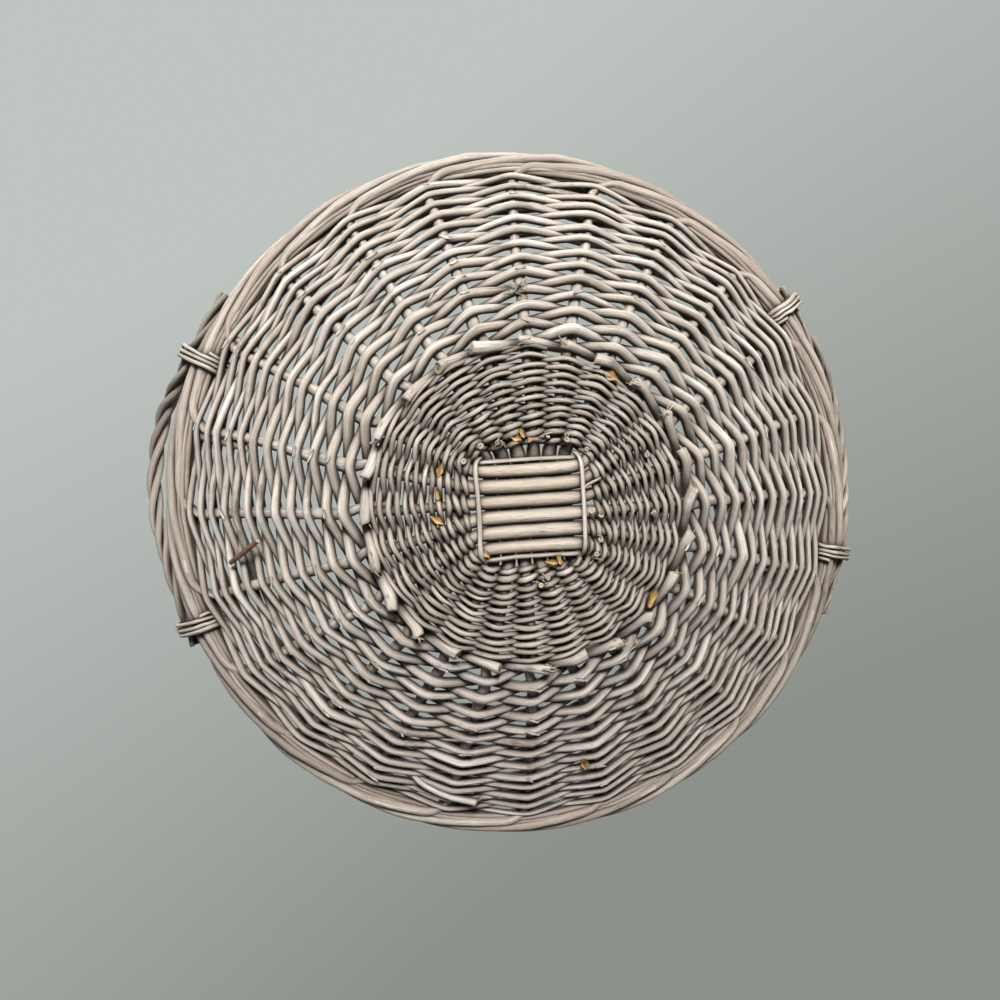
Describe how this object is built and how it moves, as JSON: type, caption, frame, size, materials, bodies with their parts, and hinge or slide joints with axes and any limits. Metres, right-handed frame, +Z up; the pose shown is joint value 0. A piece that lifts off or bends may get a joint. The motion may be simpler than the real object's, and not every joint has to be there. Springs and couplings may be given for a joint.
{
  "type": "wicker tray",
  "caption": "Round shallow willow tray with crossed base sticks, twined base, woven sloping sides, rolled border and two bow handles.",
  "frame": {"origin": "on the surface the tray stands on, under the middle of the rim", "axes": "+Z up out of the tray, +X through the right handle's side, +Y across"},
  "size_m": [0.4184, 0.3766, 0.0912],
  "materials": {
    "base_sticks": "white-washed peeled willow, matt",
    "base_weavers": "white-washed willow, matt",
    "stakes": "white-washed willow, matt",
    "side_weavers": "white-washed willow, matt",
    "handles": "white-washed twisted willow, matt",
    "lashings": "split willow, matt"
  },
  "bodies": {
    "root": {"upper_base_stick_1": "base_sticks", "upper_base_stick_2": "base_sticks", "upper_base_stick_3": "base_sticks", "upper_base_stick_4": "base_sticks", "upper_base_stick_5": "base_sticks", "upper_base_stick_6": "base_sticks", "lower_base_stick_1": "base_sticks", "lower_base_stick_2": "base_sticks", "lower_base_stick_3": "base_sticks", "lower_base_stick_4": "base_sticks", "lower_base_stick_5": "base_sticks", "lower_base_stick_6": "base_sticks", "slath_tie": "base_weavers", "base_weaver_a": "base_weavers", "base_weaver_b": "base_weavers", "side_stake_01": "stakes", "side_stake_02": "stakes", "side_stake_03": "stakes", "side_stake_04": "stakes", "side_stake_05": "stakes", "side_stake_06": "stakes", "side_stake_07": "stakes", "side_stake_08": "stakes", "side_stake_09": "stakes", "side_stake_10": "stakes", "side_stake_11": "stakes", "side_stake_12": "stakes", "side_stake_13": "stakes", "side_stake_14": "stakes", "side_stake_15": "stakes", "side_stake_16": "stakes", "side_stake_17": "stakes", "side_stake_18": "stakes", "side_stake_19": "stakes", "side_stake_20": "stakes", "side_stake_21": "stakes", "side_stake_22": "stakes", "side_stake_23": "stakes", "side_stake_24": "stakes", "side_weavers_01": "side_weavers", "side_weavers_02": "side_weavers", "side_weavers_03": "side_weavers", "side_weavers_04": "side_weavers", "side_weavers_05": "side_weavers", "side_weavers_06": "side_weavers", "side_weavers_07": "side_weavers", "side_weavers_08": "side_weavers", "side_weavers_09": "side_weavers", "side_weavers_10": "side_weavers", "side_weavers_11": "side_weavers", "side_weavers_12": "side_weavers", "handle_bow_right": "handles", "handle_bow_left": "handles", "handle_lashing_right_1": "lashings", "handle_lashing_right_2": "lashings", "handle_lashing_left_1": "lashings", "handle_lashing_left_2": "lashings"}
  },
  "joints": []
}
